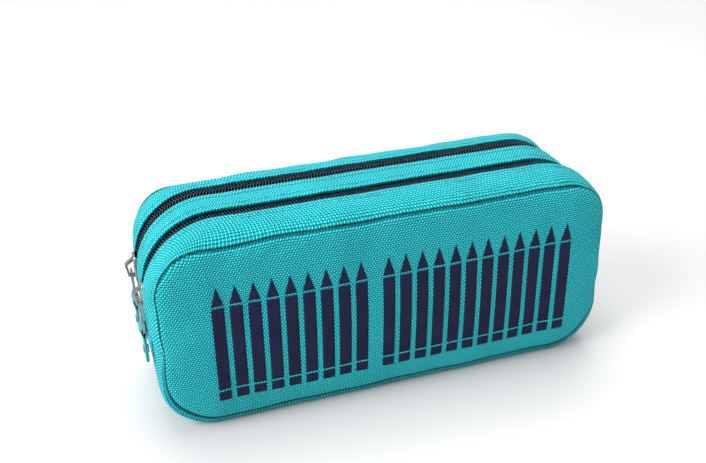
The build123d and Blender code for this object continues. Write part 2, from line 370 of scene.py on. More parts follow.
def plain_weave(n, u, v, along, slant=0.0):
    """Height of a plain weave with slanting crowns, and 1 where the thread along v is on top."""
    in_u = n.math("FRACT", u)
    in_v = n.math("FRACT", v)
    lean = n.math("MULTIPLY", n.math("SUBTRACT", in_v, 0.5), slant)
    leaning = n.math("MINIMUM", n.math("MAXIMUM", n.math("SUBTRACT", in_u, lean), 0.0), 1.0)
    across_u = n.math("SINE", n.math("MULTIPLY", leaning, math.pi))
    across_v = n.math("SINE", n.math("MULTIPLY", in_v, math.pi))
    cell = n.math("ADD", n.math("FLOOR", u), n.math("FLOOR", v))
    over = n.math("PINGPONG", cell, 1.0)
    crown_u = n.math("MULTIPLY", n.math("SQRT", across_u), n.math("MULTIPLY_ADD", across_v, along, 1 - along))
    crown_v = n.math("MULTIPLY", n.math("SQRT", across_v), n.math("MULTIPLY_ADD", across_u, along, 1 - along))
    mix = n.node("ShaderNodeMix", {"Factor": over, "A": crown_v, "B": crown_u})
    return mix.outputs[0], over


def woven(n, pitches, along, stops, mottle, depth, strength):
    """Finishes a material as a plain weave, coloured from painted shade in its gaps up to painted highlights
    on its crowns.
    """
    height, _ = plain_weave(n, *n.cloth(*pitches), along)
    scale, detail, low, high = mottle
    # painted light: the colour stops follow the weave's height, painted shade low and painted highlight high
    n.set("Base Color", n.scaled(n.colours(height, *stops), n.noise(scale, detail, low=low, high=high)))
    n.bump(height, depth * MM, strength)
    return n.material


def canvas_material():
    """Heavy plain-weave canvas, coloured by thread height: painted highlights on the crowns, brighter on the
    warp than on the weft, painted shade in the gaps, and painted shade along its seams and joins.
    """
    n = Nodes("canvas", 0.85, Sheen_Weight=0.04, Sheen_Roughness=0.4, Specular_IOR_Level=0.08)
    u, v = n.cloth(WARP_PITCH, WEFT_PITCH)
    wander = n.noise(700, 1.0, low=-0.12, high=0.12)
    height, over = plain_weave(n, n.math("ADD", u, wander), n.math("ADD", v, wander), 0.6, 0.5)
    # painted light: the ramp runs from painted shade in the gaps to painted highlights on the crowns,
    # brighter where the warp is on top
    shade = n.math("MULTIPLY", height, n.math("MULTIPLY_ADD", over, 0.34, 0.66))
    colour = n.colours(
        shade,
        (0.0, (0.0003, 0.035, 0.055)),
        (0.3, (0.0020, 0.20, 0.24)),
        (0.62, (0.010, 0.46, 0.52)),
        (0.95, (0.13, 0.93, 0.96)),
    )
    # painted shade in the seam and join creases, times a random mottle of tone
    crease_shade = n.math("MULTIPLY", n.crease_shade(0, 0.9, 0.16), n.crease_shade(1, 1.1, 0.12))
    crease_shade_and_mottle = n.math("MULTIPLY", crease_shade, n.noise(45, 3.0, low=0.92, high=1.07))
    n.set("Base Color", n.scaled(colour, crease_shade_and_mottle))
    n.bump(height, 0.35 * MM, 0.9)
    return n.material


def strap_material():
    """Narrow ribbed strap, woven tighter than the canvas."""
    n = Nodes("strap", 0.7, Sheen_Weight=0.15, Specular_IOR_Level=0.3)
    # stops from painted shade in the gaps to painted highlight on the crowns
    stops = (0.0, (0.001, 0.10, 0.12)), (0.6, (0.012, 0.34, 0.37)), (1.0, (0.05, 0.55, 0.58))
    return woven(n, (0.55, 0.42), 0.6, stops, (90, 2.0, 0.9, 1.08), 0.2, 0.8)


def thread_material():
    """Twisted sewing thread in the canvas's colour."""
    n = Nodes("thread", 0.55, Sheen_Weight=0.1)
    u, _ = n.cloth(0.35, 0.35, turn=math.radians(35))
    twist = n.math("SINE", n.math("MULTIPLY", u, 2 * math.pi))
    # painted light: the colour follows the twist, painted shade in its grooves and lighter on its ridges
    dark, light = (0.002, 0.13, 0.15), (0.02, 0.36, 0.40)
    n.set("Base Color", n.colours(n.math("MULTIPLY_ADD", twist, 0.5, 0.5), (0.0, dark), (1.0, light)))
    n.bump(twist, 0.05 * MM, 0.8)
    return n.material


def tape_material():
    """Dark twill of the zip tapes."""
    n = Nodes("zip_tape", 0.9, Specular_IOR_Level=0.03)
    u, v = n.cloth(0.5, 0.5)
    diagonal = n.math("SINE", n.math("MULTIPLY", n.math("ADD", u, v), math.pi))
    rib = n.math("ABSOLUTE", n.math("SINE", n.math("MULTIPLY", u, math.pi)))
    height = n.math("MULTIPLY", n.math("ABSOLUTE", diagonal), rib)
    # painted shade: the colour follows the twill's height, darker in its hollows
    n.set("Base Color", n.colours(height, (0.0, (0.0004, 0.0006, 0.003)), (1.0, (0.003, 0.004, 0.013))))
    n.bump(height, 0.15 * MM, 0.8)
    return n.material


def coil_material():
    """Nylon coil, dark navy, with a painted highlight: a pale line along the crown of each tooth."""
    n = Nodes("zip_coil", 0.6, Specular_IOR_Level=0.04)
    uv = n.node("ShaderNodeUVMap", uv_map="cloth").outputs[0]
    aside = n.math("ABSOLUTE", n.node("ShaderNodeSeparateXYZ", {0: uv}).outputs[1])
    # painted highlight: pale along the middle of each tooth, dark to its sides
    spread = {0: aside, 1: 0.02, 2: 0.17, 3: 1.0, 4: 0.0}
    crown = n.node("ShaderNodeMapRange", spread, interpolation_type="SMOOTHSTEP").outputs[0]
    colour = n.colours(crown, (0.0, (0.0004, 0.0009, 0.005)), (1.0, (0.085, 0.112, 0.145)))
    n.set("Base Color", n.scaled(colour, n.noise(400, 2.0, low=0.6, high=1.3)))
    n.bump(n.noise(2500, 2.0), 0.04 * MM, 0.5)
    return n.material


def metal_material():
    """Nickel-plated die casting, with fine scratches and duller patches from handling."""
    n = Nodes("zip_metal", 0.3, Metallic=1.0)
    patches = n.noise(350, 4.0, 0.6)
    n.set("Base Color", n.colours(patches, (0.0, (0.19, 0.188, 0.192)), (1.0, (0.42, 0.418, 0.425))))
    n.set("Roughness", n.math("MULTIPLY_ADD", patches, 0.22, 0.2))
    n.bump(n.noise(3000, 3.0, 0.7), 0.03 * MM, 0.4)
    return n.material


def lining_material(name="lining", shade=1.0):
    """Thin, close-woven polyester lining."""
    n = Nodes(name, 0.6, Sheen_Weight=0.25, Specular_IOR_Level=0.35)
    # stops from painted shade in the gaps to painted highlight on the crowns
    stops = (0.0, (0.004, 0.13, 0.155)), (1.0, (0.02, 0.30, 0.33))
    return woven(n, (0.35, 0.35), 0.7, stops, (30, 3.0, 0.9 * shade, 1.1 * shade), 0.08, 0.6)


def foam_material():
    """Pale open-cell padding."""
    n = Nodes("foam", 0.95, Specular_IOR_Level=0.1)
    cells = n.noise(1600, 3.0, 0.7)
    n.set("Base Color", n.colours(cells, (0.0, (0.42, 0.42, 0.40)), (1.0, (0.78, 0.78, 0.75))))
    n.bump(cells, 0.3 * MM, 0.8)
    return n.material


def print_material():
    """Matt screen-print ink that has sunk into the canvas, with painted shade between the threads and painted
    highlights on their crowns.
    """
    n = Nodes("print_ink", 0.7, Specular_IOR_Level=0.08)
    # stops from painted shade in the gaps to painted highlight on the crowns
    stops = (0.0, (0.004, 0.006, 0.022)), (0.7, (0.012, 0.015, 0.046)), (1.0, (0.024, 0.027, 0.072))
    return woven(n, (WARP_PITCH, WEFT_PITCH), 0.45, stops, (120, 3.0, 0.85, 1.12), 0.2, 0.6)


def floor_material():
    """Pale painted table with a faint unevenness."""
    n = Nodes("floor", 0.55)
    n.set("Base Color", n.colours(n.noise(6, 2.0), (0.0, (0.60, 0.592, 0.594)), (1.0, (0.63, 0.622, 0.624))))
    return n.material


CLOTH = canvas_material()
STRAP = strap_material()
THREAD = thread_material()
TAPE = tape_material()
COIL = coil_material()
METAL = metal_material()
LINING = lining_material()
BINDING = lining_material("binding", 0.8)
FOAM = foam_material()
INK = print_material()
FLOOR = floor_material()

# ---- hiding the CAD nodes that pieces replace, and parenting some pieces to bodies


def stands_for(piece, nodes):
    """Hides the CAD nodes that a piece replaces, if any."""
    if nodes:
        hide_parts(*nodes)
    return piece


def bends(piece, side_name, *nodes, slot):
    """A piece of one cover: its transform is baked into its mesh and the CAD nodes that it replaces are
    hidden.
    """
    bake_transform(piece)
    return stands_for(piece, nodes)


def stays(piece, *nodes, slot, body="shell"):
    """A piece that rides on one body without bending."""
    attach(piece, body)
    return stands_for(piece, nodes)


# ---- strips and gusset


def seam_wander(points, weight):
    """Moves points near a seam off its even outline, as cloth fed unevenly under a needle does."""
    x, z = points[..., 0].copy(), points[..., 2].copy()
    dx = 0.32 * np.sin(z / 6.1 + 0.8) + 0.18 * np.sin(z / 2.9)
    dz = 0.30 * np.sin(x / 8.3 + 0.7) + 0.16 * np.sin(x / 3.7 + 2.0)
    tuck = np.exp(-(((x + 70) / 9) ** 2)) * np.clip((z - 60) / 15, 0, 1)
    points[..., 0] += weight * dx * np.clip((np.abs(x) - 75) / 15, 0, 1)
    points[..., 2] += weight * (dz - 0.9 * tuck) * np.clip((np.abs(z - 45) - 22) / 12, 0, 1)


def ripples(stations, depths, seed, amount):
    """Gentle unevenness of sewn cloth, as waves along the hoop with a few lengths and phases."""
    total = np.zeros((len(stations), len(depths)))
    for length, share, phase in ((23.0, 0.5, 0.0), (41.0, 0.8, 2.1), (13.5, 0.3, 4.0)):
        angle = 2 * math.pi * stations[:, None] / length + phase + seed + 0.21 * depths
        total += share * np.sin(angle)
    return amount * total


def seam_share(depths):
    """How far along the way from a strip's fold to its seam each depth is."""
    return np.clip((np.abs(depths) - STRIP_Y) / (SEAM_Y - STRIP_Y), 0, 1)


def strip_ease(q):
    """The strip falls slowly from the wall's outline, and faster near the seam."""
    return 0.6 * q + 0.4 * q**4


def fades(stations, reach):
    """0 at both joins, rising to 1 within a few reaches of them."""
    return 1 - np.exp(-from_ends(stations) / reach)


def end_walls(stations, upper=True):
    """1 on each end wall, fading to 0 round its corners: the sliders' end, then the other end."""
    _, normals = hoop(stations, 0.0, upper)
    return np.minimum(normals[:, 0], 0) ** 2, np.maximum(normals[:, 0], 0) ** 2


NOTCH = 1.4
NOTCH_WIDTH = 0.45
JOIN_DIP = 0.7
STITCH_DIP = 0.45


def stitch_channel(stations, distance):
    """The channel that a row of stitches pulls into the cloth, deeper where each stitch goes through."""
    pull = 1 + 0.35 * np.cos(2 * math.pi * stations / STITCH_PITCH)
    return -STITCH_DIP * pull[:, None] * np.exp(-(((distance - STITCH_INSET) / 0.8) ** 2))


def join_dip(stations):
    """Both hoops turn in where they are sewn to each other."""
    return -JOIN_DIP * np.exp(-from_ends(stations) / 0.9)[:, None]


END_PUFF = {"front": (1.5, 0.8), "back": (0.4, 1.1)}  # at the sliders' end and at the other end
TOP_PUFF = {"front": 1.2, "back": 0.2}
FOLD_RAISE = {"front": 0.9, "back": -0.6}


def strip_lifts(side_name, stations, depths):
    """How far a padded strip's middle surface stands off the outline."""
    q = seam_share(depths)
    from_fold = np.abs(depths) - STRIP_Y
    from_seam = SEAM_Y - np.abs(depths)
    near_puff, far_puff = END_PUFF[side_name]
    near, far = end_walls(stations)
    top_puff = TOP_PUFF[side_name]
    height = top_puff + (near_puff - top_puff) * near + (far_puff - top_puff) * far
    fold = FOLD_RAISE[side_name] * (1 - near) * fades(stations, 12.0)
    height = height * fades(stations, 6.0)
    puff = np.clip(from_fold / 2.4, 0, 1) ** 0.5 * np.sqrt(np.clip(1 - q**3, 0, 1))
    return (
        -CANVAS / 2
        + STRIP_STANDS_OUT
        + height[:, None] * puff
        + fold[:, None] * (1 - q**2)
        - NOTCH * np.exp(-from_seam / NOTCH_WIDTH)
        + stitch_channel(stations, from_fold)
        + join_dip(stations)
    )


STRIP_STEP = 0.9
STRIP_STANDS_OUT = 0.4
FOLD_EXTRA = {"front": 0.7, "middle": 0.7, "back": 0.2}


def make_strip(side_name, side):
    """A padded strip between a zip and a panel."""
    across = spaced(SEAM_Y - STRIP_Y, 0.7, FOLD_EDGE, FINE_EDGE)
    depths = side * (STRIP_Y + across)
    stations = hoop_stations(STRIP_STEP)
    lifts = strip_lifts(side_name, stations, depths) + ripples(stations, depths, side, 0.12)
    roll = side * 0.2 * np.exp(-(((across[-1] - across - 1.4) / 1.2) ** 2))
    q = seam_share(depths)
    grid = hoop_grid(stations, depths + roll, strip_ease(q), lifts)
    seam_wander(grid, q**4)
    fold = FOLD_EXTRA[side_name] * np.exp(-((across / 2.2) ** 2))
    thickness = round_edge(grid_edge_distance(stations, across), CANVAS) * (1 + fold / CANVAS)
    uv = cloth_uv(stations, across)
    edges = (SEAM_Y - np.abs(depths), from_ends(stations)[:, None])
    piece = shell(f"{side_name}_strip_canvas", grid, thickness, uv, CLOTH, outward=side, edges=edges)
    bends(piece, side_name, f"{side_name}_strip", slot="canvas")


def middle_lifts(stations, from_fold):
    rise = 0.2 + 0.45 * np.clip(from_fold / 5, 0, 1) ** 0.7
    return -CANVAS / 2 + rise + stitch_channel(stations, from_fold) + join_dip(stations)


def make_middle_strip():
    across = spaced(2 * MIDDLE_Y, 0.7, FOLD_EDGE)
    depths = across - MIDDLE_Y
    stations = hoop_stations(STRIP_STEP)
    from_fold = np.minimum(across, across[::-1])
    lifts = middle_lifts(stations, from_fold) + ripples(stations, depths, 2.0, 0.08)
    grid = hoop_grid(stations, depths, 0.0, lifts)
    fold = FOLD_EXTRA["middle"] * np.exp(-((from_fold / 2.2) ** 2))
    thickness = round_edge(grid_edge_distance(stations, across), CANVAS) * (1 + fold / CANVAS)
    uv = cloth_uv(stations, across)
    edges = (np.full(len(across), SEAM_Y), from_ends(stations)[:, None])
    piece = shell("middle_strip_canvas", grid, thickness, uv, CLOTH, outward=1, edges=edges)
    stays(piece, "middle_strip", slot="canvas")


def gusset_ease(stations, depths):
    """Like the strips at the joins, and staying out until close to the seam underneath."""
    q = seam_share(depths)
    steep = 1 - np.sqrt(1 - q**9)
    under = fades(stations, 9.0)[:, None]
    return strip_ease(q) * (1 - under) + steep * under


def make_gusset():
    """The lower gusset's canvas: a roll stands out beside each seam, and it lies flat underneath."""
    stations = hoop_stations(STRIP_STEP, upper=False)
    across = spaced(2 * SEAM_Y, 0.9, FINE_EDGE)
    depths = across - SEAM_Y
    q = seam_share(depths)
    from_seam = SEAM_Y - np.abs(depths)
    side = np.where(depths < 0, 1.0, 0.0)
    wall = sum(end_walls(stations, upper=False)) * fades(stations, 6.0)
    puff = (0.3 + 0.1 * side) * np.sin(math.pi * np.clip(q, 0, 1) ** 0.8) ** 0.7
    lifts = (
        -CANVAS / 2
        + wall[:, None] * puff
        - NOTCH * np.exp(-from_seam / NOTCH_WIDTH)
        + join_dip(stations)
        + ripples(stations, depths, 5.0, 0.07)
    )
    roll = np.sign(depths) * 0.5 * np.exp(-(((from_seam - 1.7) / 1.5) ** 2))
    grid = hoop_grid(stations, depths + roll, gusset_ease(stations, depths), lifts, upper=False)
    seam_wander(grid, q**4)
    thickness = round_edge(grid_edge_distance(stations, across), CANVAS)
    grid[..., 2] = np.maximum(grid[..., 2], WALL[BOTTOM] + thickness / 2)
    uv = cloth_uv(stations, across)
    edges = (from_seam, from_ends(stations)[:, None])
    piece = shell("bottom_gusset_canvas", grid, thickness, uv, CLOTH, outward=-1, edges=edges)
    stays(piece, "bottom_gusset", slot="canvas")


def make_gusset_layers():
    """Foam and lining inside the lower gusset."""
    layers = (
        ("bottom_gusset_foam", "bottom_gusset_padding", FOAM, "foam", 2.05, 1.5, 0.03),
        ("bottom_gusset_lining", "bottom_gusset_lining_cloth", LINING, "lining", 3.1, 0.35, 0.06),
    )
    for node, name, material, slot, inset, thick, uneven in layers:
        reach = node_box(node)[1][1]
        across = spaced(2 * reach, 2.0, FINE_EDGE)
        depths = across - reach
        rows = hoop_stations(2.5, upper=False)
        lifts = ripples(rows, depths, 5.0, uneven) - inset
        grid = hoop_grid(rows, depths, 0.8 * strip_ease(seam_share(depths)), lifts, upper=False)
        thickness = round_edge(grid_edge_distance(rows, across), thick)
        uv = cloth_uv(rows, across)
        piece = stays(shell(name, grid, thickness, uv, material, outward=-1), node, slot=slot)


# ---- panels


SIM_FRAMES = 24
SIM_STEP = 3.4
SIM_CROWN = 1.6
PANEL_GAP = 0.25
DIVIDER_INSET = 1.35
BINDING_INSET = 1.9


def simulate_panel(outline, crown):
    """The shape that pressure lifts a panel to, held all round its seam, on a coarse grid of the outline.

    The simulation gives the shape only: it is scaled so that its highest point stands out by the crown.
    """
    x, z = face_grid(outline, SIM_STEP, edge=())
    rows, columns = x.shape
    flat = np.stack([x, np.zeros_like(x), z], 2)
    distance = edge_distance(x, z, outline)
    flat[..., 1] = -0.4 * np.clip(distance / 20, 0, 1)
    vertices = flat.reshape(-1, 3)
    index = np.arange(rows * columns).reshape(rows, columns)
    faces = np.stack([index[:-1, :-1], index[:-1, 1:], index[1:, 1:], index[1:, :-1]], 2).reshape(-1, 4)
    pad = new_object("panel_simulation", vertices, faces, CLOTH)
    border = [int(i) for i in np.unique(np.concatenate([index[0], index[-1], index[:, 0], index[:, -1]]))]
    pad.vertex_groups.new(name="held").add(border, 1.0, "REPLACE")
    cloth = pad.modifiers.new("cloth", "CLOTH")
    settings = cloth.settings
    settings.vertex_group_mass = "held"
    settings.quality = 6
    settings.mass = 0.3
    settings.tension_stiffness = 30
    settings.compression_stiffness = 30
    settings.shear_stiffness = 12
    settings.bending_stiffness = 1.5
    settings.use_pressure = True
    settings.uniform_pressure_force = 2.0
    settings.shrink_min = -0.012
    settings.effector_weights.gravity = 0
    cloth.point_cache.frame_start = 1
    cloth.point_cache.frame_end = SIM_FRAMES
    for step in range(1, SIM_FRAMES + 1):
        bpy.context.scene.frame_set(step)
    settled = pad.evaluated_get(bpy.context.evaluated_depsgraph_get()).to_mesh()
    moved = np.array([v.co for v in settled.vertices]) / MM
    bpy.data.objects.remove(pad)
    bpy.context.scene.frame_set(1)
    lift = -moved.reshape(rows, columns, 3)[..., 1]
    return x, z, np.clip(lift / max(lift.max(), 1e-6), 0, 1) * crown


def resample(lift, rows, columns):
    """Cubic interpolation of a grid of lifts at fractional rows and columns."""

    def cubic(values, at):
        last = len(values) - 1
        base = np.clip(np.floor(at).astype(int), 0, last - 1)
        t = (at - base)[:, None]
        p0, p1 = values[np.maximum(base - 1, 0)], values[base]
        p2, p3 = values[base + 1], values[np.minimum(base + 2, last)]
        bend = (p0 * -1 + p1 * 3 - p2 * 3 + p3) * t**3 + (p0 * 2 - p1 * 5 + p2 * 4 - p3) * t**2
        return p1 + 0.5 * (bend + (p2 - p0) * t)

    return cubic(cubic(lift, rows).T, columns).T


def panel_lift(distance):
    """How far a panel's middle surface stands out at a distance from its seam: a tight roll, then a slope."""
    roll = 1.1 * (1 - np.exp(-distance / 0.5))
    return roll + 1.0 * (1 - np.exp(-distance / 4)) + 0.9 * (1 - np.exp(-distance / 14))


def make_panels():
    """Front and back canvas: rolled over the padding at the seam and lifted between."""
    x, z, distance = face_sheet(SEAM, 1.6)
    coarse_x, coarse_z, coarse_lift = simulate_panel(SEAM, SIM_CROWN)
    across = coarse_x[len(coarse_x) // 2] / SEAM[HALF]
    share = x / np.maximum(np.abs(x).max(axis=1, keepdims=True), 1e-9)
    column_at = np.interp(share[0], across, np.arange(len(across)))
    row_at = np.interp(z[:, 0], coarse_z[:, 0], np.arange(len(coarse_z)))
    lift = resample(coarse_lift, row_at, column_at)
    pucker = 0.16 * np.exp(-distance / 5) * np.sin(x / 3.1 + 1.3 * np.sin(z / 11)) * np.cos(z / 3.4)
    thickness = round_edge(distance, CANVAS)
    uv = np.stack([x, z], 2)
    pieces = {}
    for name, side in SIDES:
        stand = SEAM_Y + PANEL_GAP + panel_lift(distance) + lift + pucker * np.clip(distance / 1.2, 0, 1)
        grid = np.stack([x, side * stand, z], 2)
        seam_wander(grid, np.exp(-distance / 6))
        edges = (distance, np.full((1, 1), SEAM_Y))
        piece = shell(f"{name}_panel_canvas", grid, thickness, uv, CLOTH, outward=side, edges=edges)
        pieces[name] = bends(piece, name, f"{name}_panel", slot="canvas")
    return pieces


def inset_outline(outline, inset):
    return outline + np.array([-inset, inset, -inset, -inset, -inset])


def make_panel_layers():
    """Foam and lining behind each panel, and the divider between the pockets."""
    layers = (
        ("panel_foam", "padding", FOAM, "foam", 1.4, 1.9),
        ("panel_lining", "cloth", LINING, "lining", 1.6, 0.35),
    )
    for name, side in SIDES:
        for node, word, material, slot, inset, thick in layers:
            outline = inset_outline(SEAM, inset)
            low, high = node_box(f"{name}_{node}")
            x, z, distance = face_sheet(outline, 2.6)
            middle = (low[1] + high[1]) / 2 + side * 1.2 * (1 - np.exp(-distance / 9))
            grid, uv = np.stack([x, middle, z], 2), np.stack([x, z], 2)
            thickness = round_edge(distance, thick)
            piece = shell(f"{name}_{node}_{word}", grid, thickness, uv, material, outward=side)
            bends(piece, name, f"{name}_{node}", slot=slot)
    low, high = node_box("divider")
    outline = inset_outline(WALL, DIVIDER_INSET)
    outline[BOTTOM] = low[2]
    x, z, distance = face_sheet(outline, 2.6)
    sway = 0.5 * np.sin(x / 31) * np.sin(math.pi * (z - low[2]) / (high[2] - low[2]))
    grid, uv = np.stack([x, sway, z], 2), np.stack([x, z], 2)
    piece = shell("divider_cloth", grid, round_edge(distance, 1.0), uv, LINING)
    stays(piece, "divider", slot="lining")


def make_bindings():
    """Binding tape round the inside of each panel's seam."""
    for name, _ in SIDES:
        low, high = node_box(f"{name}_seam_binding")
        across = spaced(high[1] - low[1], 0.8, (0.06, 0.2, 0.42))
        over, over_normals = hoop(hoop_stations(2.5), 1.0)
        under, under_normals = hoop(hoop_stations(2.5, upper=False), 1.0, upper=False)
        ring = np.concatenate([over, under[::-1][1:-1]])
        normals = np.concatenate([over_normals, under_normals[::-1][1:-1]])
        ring = ring - normals * BINDING_INSET
        columns = [np.stack([ring[:, 0], np.full(len(ring), y), ring[:, 1]], 1) for y in low[1] + across]
        grid = np.stack(columns, 1)
        edge = np.minimum(across, across[::-1])
        thickness = np.repeat(round_edge(edge, 1.0)[None, :], len(grid), 0)
        around = np.concatenate([[0], np.cumsum(np.linalg.norm(np.diff(grid[:, 0], axis=0), axis=1))])
        uv = cloth_uv(around, across)
        piece = shell(f"{name}_seam_binding_tape", grid, thickness, uv, BINDING, cyclic=True)
        bends(piece, name, f"{name}_seam_binding", slot="binding")


# ---- print


PRINT_GAP = 0.12


def make_print(panel):
    """The printed bars, laid on the crowned canvas: one small grid for each solid of the CAD film."""
    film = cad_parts["front_print"].data
    tree = BVHTree.FromObject(panel, bpy.context.evaluated_depsgraph_get())
    co = np.array([v.co for v in film.vertices]) / MM
    vertices, faces, uvs = [], [], []
    for low, high, pointed in print_shapes(film, co):
        rows = spaced(high[2] - low[2], 1.3) + low[2]
        width = high[0] - low[0]
        columns = spaced(width, 1.0) / width - 0.5
        first = len(vertices)
        for z in rows:
            narrow = (high[2] - z) / (high[2] - low[2]) if pointed else 1.0
            for c in columns:
                x = (low[0] + high[0]) / 2 + c * width * max(narrow, 0.02)
                start = Vector((x, -80, z)) * MM
                hit = tree.ray_cast(start, Vector((0, 1, 0)))[0]
                vertices.append((x, hit.y / MM - PRINT_GAP, z))
                uvs.append((x, z))
        across = len(columns)
        for r in range(len(rows) - 1):
            for c in range(across - 1):
                a = first + r * across + c
                faces.append((a, a + 1, a + across + 1, a + across))
    piece = new_object("front_print_ink", vertices, faces, INK, uvs)
    solid = piece.modifiers.new("film", "SOLIDIFY")
    solid.thickness = 0.1 * MM
    solid.offset = -1
    solidified = piece.evaluated_get(bpy.context.evaluated_depsgraph_get())
    mesh = bpy.data.meshes.new_from_object(solidified)
    piece.modifiers.clear()
    piece.data = mesh
    bends(piece, "front", "front_print", slot="print_ink")


def print_shapes(film, co):
    """Low and high corners of each separate solid in the film, and whether it's a pointed one."""
    parent = list(range(len(co)))

    def root(i):
        while parent[i] != i:
            parent[i] = parent[parent[i]]
            i = parent[i]
        return i

    for edge in film.edges:
        parent[root(edge.vertices[0])] = root(edge.vertices[1])
    places, merged = {}, {}
    for i in range(len(co)):
        key = tuple(np.round(co[i], 2))
        if key in merged:
            parent[root(i)] = root(merged[key])
        merged[key] = i
    for i in range(len(co)):
        places.setdefault(root(i), []).append(i)
    shapes = []
    for members in places.values():
        points = co[members]
        low, high = points.min(0), points.max(0)
        top = points[points[:, 2] > high[2] - 0.01]
        shapes.append((low, high, bool(np.ptp(top[:, 0]) < 0.1)))
    return sorted(shapes, key=lambda s: (s[0][0], s[0][2]))


# ---- zips


def hoop_frames(places, share, y, lifts, leans):
    """Frames for scatter, at places along the hoop. A lean is how far a body points along it and along Y."""
    frames = []
    for point, normal, lift, (along, aside) in zip(*hoop(places, share), lifts, leans):
        centre = np.array([point[0] + normal[0] * lift, y, point[1] + normal[1] * lift])
        direction = np.array([normal[1] * along, aside, -normal[0] * along])
        direction = direction / np.linalg.norm(direction)
        up = np.array([normal[0], 0, normal[1]])
        frames.append((centre, direction, np.cross(up, direction), up))
    return frames


def capsule(length_points, radii_a, radii_b, sides):
    """Rings round a line for a small closed body: centres, two radii at each, and the number of sides."""
    angles = np.arange(sides) * 2 * math.pi / sides
    rings = [
        np.stack([np.full(sides, s), a * np.cos(angles), b * np.sin(angles)], 1)
        for s, a, b in zip(length_points, radii_a, radii_b)
    ]
    points = np.concatenate([*rings, [[length_points[0], 0, 0]], [[length_points[-1], 0, 0]]])
    count = len(length_points)
    faces = []
    for r in range(count - 1):
        for k in range(sides):
            n = (k + 1) % sides
            faces.append((r * sides + k, r * sides + n, (r + 1) * sides + n, (r + 1) * sides + k))
    start, end = count * sides, count * sides + 1
    for k in range(sides):
        n = (k + 1) % sides
        faces.append((start, n, k))
        faces.append((end, (count - 1) * sides + k, (count - 1) * sides + n))
    return points, faces


def scatter(name, template, frames, material):
    """Copies of a small body, one at each frame: its centre and three directions."""
    points, faces = template
    vertices, all_faces, uvs = [], [], []
    for number, (centre, along, across, up) in enumerate(frames):
        basis = np.stack([along, across, up])
        placed = points @ basis + centre
        first = number * len(points)
        vertices.append(placed)
        uvs.append(points[:, :2] + (number * 0.37, 0))
        all_faces += [tuple(first + i for i in face) for face in faces]
    return new_object(name, np.concatenate(vertices), all_faces, material, np.concatenate(uvs))


TOOTH_PITCH = 1.35
TOOTH_SLANT = 0.28
TOOTH_SINK = 0.62
TOOTH_OVERLAP = 0.35
TAPE_THICKNESS = 0.45


def make_zip_half(side_name, side, half_name, toward):
    """Tape and teeth of one half of a zip. Toward is 1 for the half further from the middle."""
    low, high = node_box(f"{side_name}_zip_{half_name}_tape")
    stations = hoop_stations(1.8)
    span = high[1] - low[1]
    across = spaced(span, 1.1, (0.06, 0.15, 0.3))
    depths = low[1] + across
    grid = hoop_grid(stations, depths, strip_ease(seam_share(depths)), -TAPE_DEPTH)
    thickness = round_edge(grid_edge_distance(stations, across), TAPE_THICKNESS)
    uv = cloth_uv(stations, across)
    tape = shell(f"{side_name}_zip_{half_name}_tape_cloth", grid, thickness, uv, TAPE)

    places = np.arange(stations[0] + 1.4, stations[-1] - 1.2, TOOTH_PITCH)
    if half_name == "outer":
        places = places + TOOTH_PITCH / 2
    reach = CHAIN_HALF + TOOTH_OVERLAP
    lengths = np.array([0.0, 0.12, 0.45, 0.8, 0.95, 1.0]) * reach
    widths = np.array([0.10, 0.26, 0.31, 0.31, 0.38, 0.2])
    heights = np.array([0.16, 0.44, 0.5, 0.5, 0.5, 0.3])
    body = capsule(lengths, widths, heights, 8)
    outer_y = side * (ZIP_Y + toward * CHAIN_HALF)
    lifts = np.full(len(places), -TOOTH_SINK)
    leans = [(TOOTH_SLANT, -side * toward)] * len(places)
    frames = hoop_frames(places, 0.0, outer_y, lifts, leans)
    coil = scatter(f"{side_name}_zip_{half_name}_teeth", body, frames, COIL)
    for piece, node, slot in ((tape, "tape", "zip_tape"), (coil, "coil", "zip_coil")):
        replaced = f"{side_name}_zip_{half_name}_{node}"
        if half_name == "outer":
            bends(piece, side_name, replaced, slot=slot)
        else:
            stays(piece, replaced, slot=slot)


def make_stop_copies():
    """Metal copies of the stops on the outer halves, in place of their CAD nodes."""
    for name, _ in SIDES:
        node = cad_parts[f"{name}_zip_outer_top_stop"]
        piece = link(bpy.data.objects.new(f"{name}_zip_outer_top_stop_metal", node.data.copy()))
        piece.data.materials.clear()
        piece.data.materials.append(METAL)
        bends(piece, name, f"{name}_zip_outer_top_stop", slot="zip_metal")


# ---- topstitching


def make_stitches(name, depth, share, lift, body):
    """A row of stitches along a strip at one depth, lying in their channel. Lift has one value a station."""
    stations = hoop_stations(STRIP_STEP)
    places = np.arange(STITCH_PITCH, stations[-1] - STITCH_PITCH, STITCH_PITCH) + STITCH_PITCH / 2
    lifts = np.interp(places, stations, lift) + CANVAS / 2
    ends = np.array([-1, -0.8, -0.4, 0.4, 0.8, 1]) * STITCH_LENGTH / 2
    widths = np.array([0.08, 0.19, 0.24, 0.24, 0.19, 0.08])
    template = capsule(ends, widths, 0.9 * widths, 7)
    leans = [(1, STITCH_LEAN * (-1) ** number) for number in range(len(places))]
    piece = scatter(name, template, hoop_frames(places, share, depth, lifts, leans), THREAD)
    if body:
        bends(piece, body, slot="canvas")
    else:
        stays(piece, slot="canvas")


def make_all_stitches():
    stations = hoop_stations(STRIP_STEP)
    for name, side in SIDES:
        depths = np.array([side * (STRIP_Y + STITCH_INSET)])
        share = float(strip_ease(seam_share(depths))[0])
        level = strip_lifts(name, stations, depths)[:, 0]
        make_stitches(f"{name}_strip_stitches", depths[0], share, level, name)
        level = middle_lifts(stations, np.array([STITCH_INSET]))[:, 0]
        make_stitches(f"middle_strip_{name}_stitches", side * (MIDDLE_Y - STITCH_INSET), 0.0, level, None)


# ---- pull tabs


